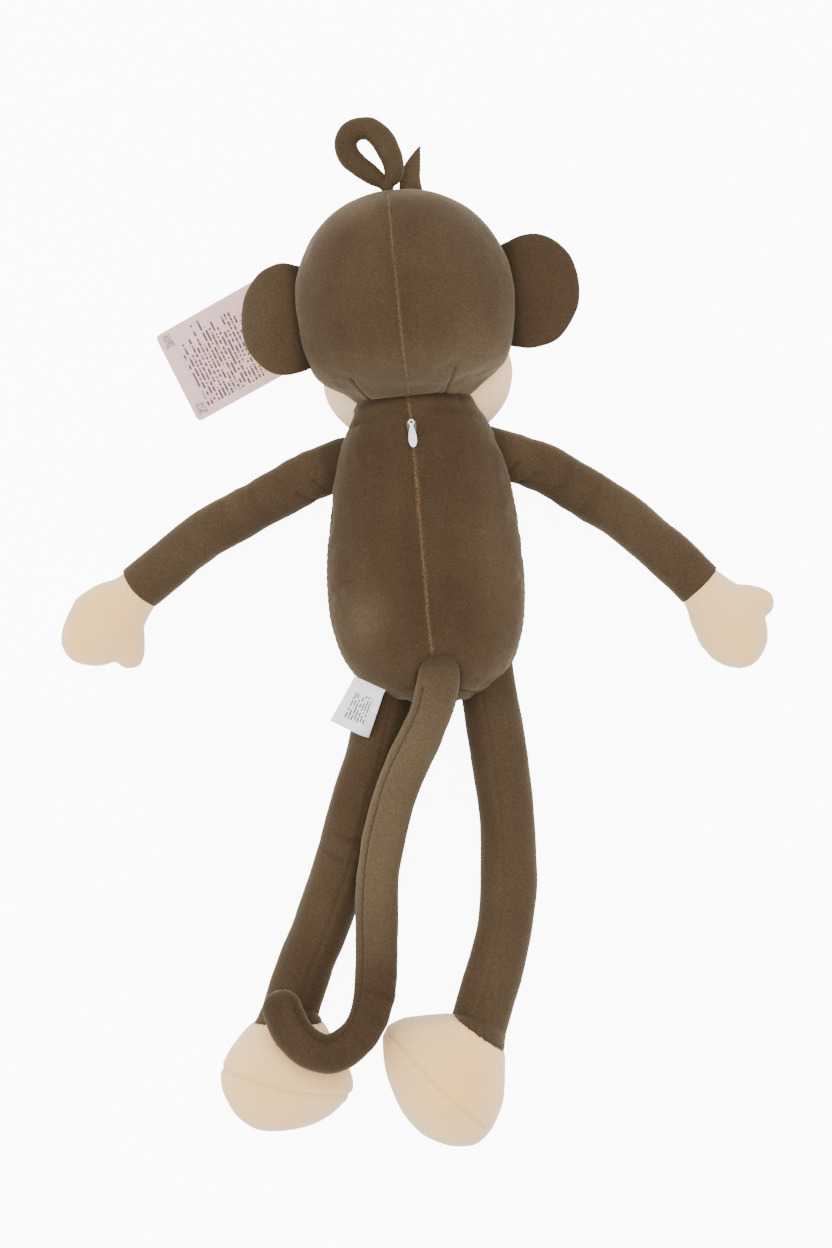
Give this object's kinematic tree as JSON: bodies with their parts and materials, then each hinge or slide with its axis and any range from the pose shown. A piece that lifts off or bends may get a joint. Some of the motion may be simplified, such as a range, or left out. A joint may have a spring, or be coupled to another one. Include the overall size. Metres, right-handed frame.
{
  "type": "stuffed monkey",
  "caption": "Long-limbed stuffed monkey toy in brown and cream velour, lying face down, with jointed head, limbs and tail, a back zip and a hair loop.",
  "frame": {"origin": "middle of the flat patch of belly that the toy lies on, on its mid-plane", "axes": "+Y from the belly towards the head, +X towards the toy's right hand, +Z out of its back"},
  "size_m": [0.415, 0.5916, 0.137],
  "materials": {
    "brown_velour": "matte",
    "cream_velour": "matte",
    "filling": "matte",
    "black_plastic": "gloss",
    "white_plastic": "satin",
    "dark_thread": "matte",
    "white_satin": "satin",
    "pink_card": "satin"
  },
  "bodies": {
    "torso": {"torso_back_left": "brown_velour", "torso_back_right": "brown_velour", "torso_front": "brown_velour", "torso_filling": "filling", "zip_tape_left": "brown_velour", "zip_tape_right": "brown_velour", "zip_coil": "white_plastic", "zip_bottom_stop": "white_plastic"},
    "neck": {"neck_filling": "filling"},
    "head": {"head_back_left": "brown_velour", "head_back_right": "brown_velour", "face_panel": "cream_velour", "muzzle_panel": "cream_velour", "head_filling": "filling", "muzzle_filling": "filling", "eye_left": "black_plastic", "eye_right": "black_plastic", "eye_washer_left": "white_plastic", "eye_washer_right": "white_plastic", "nose": "black_plastic", "nose_washer": "white_plastic", "mouth_thread": "dark_thread", "tag_fastener": "white_plastic"},
    "hair_loop": {"hair_loop": "brown_velour"},
    "hair_tuft": {"hair_tuft": "brown_velour"},
    "zip_slider": {"zip_slider": "white_plastic"},
    "zip_pull": {"zip_pull": "white_plastic"},
    "care_label": {"care_label": "white_satin"},
    "hang_tag": {"hang_tag": "pink_card"},
    "tail": {"tail_sleeve": "brown_velour", "tail_filling": "filling"},
    "ear_left": {"ear_left_back": "brown_velour", "ear_left_front": "cream_velour"},
    "arm_left": {"arm_left_sleeve": "brown_velour", "arm_left_filling": "filling"},
    "hand_left": {"hand_left_cover": "cream_velour", "hand_left_filling": "filling"},
    "leg_left": {"leg_left_sleeve": "brown_velour", "leg_left_filling": "filling"},
    "foot_left": {"foot_left_upper": "cream_velour", "foot_left_sole": "cream_velour", "foot_left_filling": "filling"},
    "ear_right": {"ear_right_back": "brown_velour", "ear_right_front": "cream_velour"},
    "arm_right": {"arm_right_sleeve": "brown_velour", "arm_right_filling": "filling"},
    "hand_right": {"hand_right_cover": "cream_velour", "hand_right_filling": "filling"},
    "leg_right": {"leg_right_sleeve": "brown_velour", "leg_right_filling": "filling"},
    "foot_right": {"foot_right_upper": "cream_velour", "foot_right_sole": "cream_velour", "foot_right_filling": "filling"}
  },
  "joints": [
    {"name": "neck_turn", "type": "hinge", "parent": "torso", "child": "neck", "pos_m": [0, 0.052, 0.046], "axis": [0, 1, 0], "range_deg": [-40, 40]},
    {"name": "neck_nod", "type": "hinge", "parent": "neck", "child": "head", "pos_m": [0, 0.052, 0.046], "axis": [1, 0, 0], "range_deg": [-20, 3]},
    {"name": "ear_left_fold", "type": "hinge", "parent": "head", "child": "ear_left", "pos_m": [-0.0621, 0.14, 0.08], "axis": [0, 1, 0], "range_deg": [-30, 35]},
    {"name": "ear_right_fold", "type": "hinge", "parent": "head", "child": "ear_right", "pos_m": [0.0663, 0.144, 0.08], "axis": [0, -1, 0], "range_deg": [-30, 35]},
    {"name": "hair_loop_flop", "type": "hinge", "parent": "head", "child": "hair_loop", "pos_m": [-0.003, 0.214, 0.086], "axis": [1, 0, 0], "range_deg": [-40, 40]},
    {"name": "hair_tuft_flop", "type": "hinge", "parent": "head", "child": "hair_tuft", "pos_m": [0.012, 0.212, 0.074], "axis": [1, 0, 0], "range_deg": [-35, 35]},
    {"name": "shoulder_left_swing", "type": "hinge", "parent": "torso", "child": "arm_left", "pos_m": [-0.057, 0.052, 0.044], "axis": [0, 0, -1], "range_deg": [-30, 30]},
    {"name": "shoulder_right_swing", "type": "hinge", "parent": "torso", "child": "arm_right", "pos_m": [0.057, 0.0515, 0.044], "axis": [0, 0, 1], "range_deg": [-30, 30]},
    {"name": "wrist_left_curl", "type": "hinge", "parent": "arm_left", "child": "hand_left", "pos_m": [-0.168, -0.0052, 0.016], "axis": [0.72, -0.694, 0], "range_deg": [-30, 35]},
    {"name": "wrist_right_curl", "type": "hinge", "parent": "arm_right", "child": "hand_right", "pos_m": [0.161, -0.032, 0.016], "axis": [0.779, 0.627, 0], "range_deg": [-30, 35]},
    {"name": "hip_left_swing", "type": "hinge", "parent": "torso", "child": "leg_left", "pos_m": [-0.03, -0.09, 0.038], "axis": [1, 0, 0], "range_deg": [0, 70]},
    {"name": "hip_right_swing", "type": "hinge", "parent": "torso", "child": "leg_right", "pos_m": [0.0325, -0.09, 0.038], "axis": [1, 0, 0], "range_deg": [0, 70]},
    {"name": "ankle_left_flex", "type": "hinge", "parent": "leg_left", "child": "foot_left", "pos_m": [-0.1014, -0.2613, 0.027], "axis": [1, 0, 0], "range_deg": [0, 20]},
    {"name": "ankle_right_flex", "type": "hinge", "parent": "leg_right", "child": "foot_right", "pos_m": [0.008, -0.279, 0.027], "axis": [1, 0, 0], "range_deg": [-15, 20]},
    {"name": "tail_root_lift", "type": "hinge", "parent": "torso", "child": "tail", "pos_m": [0.003, -0.069, 0.0938], "axis": [-1, 0, 0], "range_deg": [0, 55]},
    {"name": "zip_slide", "type": "slide", "parent": "torso", "child": "zip_slider", "axis": [0, -1, 0], "range_m": [0, 0.105]},
    {"name": "zip_pull_flip", "type": "hinge", "parent": "zip_slider", "child": "zip_pull", "pos_m": [0, 0.0755, 0.0898], "axis": [-1, 0, 0], "range_deg": [0, 100]},
    {"name": "care_label_flap", "type": "hinge", "parent": "torso", "child": "care_label", "pos_m": [-0.0385, -0.0745, 0.06], "axis": [-0.7986, 0.6018, 0], "range_deg": [-5, 70]},
    {"name": "hang_tag_swing", "type": "hinge", "parent": "head", "child": "hang_tag", "pos_m": [-0.0764, 0.1406, 0.03], "axis": [-0.373, 0.9278, 0], "range_deg": [0, 40]}
  ]
}
